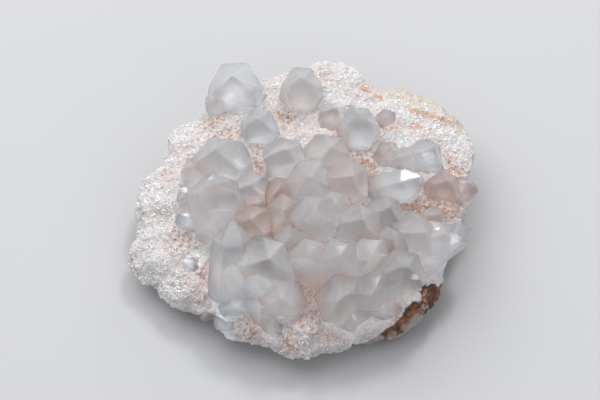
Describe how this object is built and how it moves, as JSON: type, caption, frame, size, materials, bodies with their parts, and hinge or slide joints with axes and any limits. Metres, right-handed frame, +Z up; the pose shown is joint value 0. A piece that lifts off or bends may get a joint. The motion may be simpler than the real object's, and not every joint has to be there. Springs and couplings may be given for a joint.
{
  "type": "rhodochrosite specimen",
  "caption": "Loose plate of pale sugary rhodochrosite rock, flat underneath, with clear to milky six-sided crystals standing on its domed upper face.",
  "frame": {"origin": "middle of the specimen's box, on the surface that its flat underside lies on", "axes": "+Z up, out of the crystal-covered face; +X to the right and +Y away from a viewer who has the straight-walled, rust-brown side at the lower right"},
  "size_m": [0.0808, 0.0756, 0.0281],
  "materials": {
    "matrix_rock": "matte",
    "clear_crystal": "gloss",
    "pink_crystal": "gloss"
  },
  "bodies": {
    "root": {"matrix_rock": "matrix_rock", "top_left_pair": "clear_crystal", "top_middle_crystal": "clear_crystal", "upper_left_crystal": "clear_crystal", "upper_right_pair": "clear_crystal", "small_pink_crystal": "pink_crystal", "centre_cluster": "clear_crystal", "left_cluster": "clear_crystal", "lower_left_cluster": "clear_crystal", "lower_cluster": "clear_crystal", "right_cluster": "clear_crystal", "bright_faced_crystal": "clear_crystal", "glinting_cluster": "clear_crystal", "right_edge_pair": "pink_crystal", "low_left_point": "clear_crystal", "low_left_stub": "clear_crystal"}
  },
  "joints": []
}
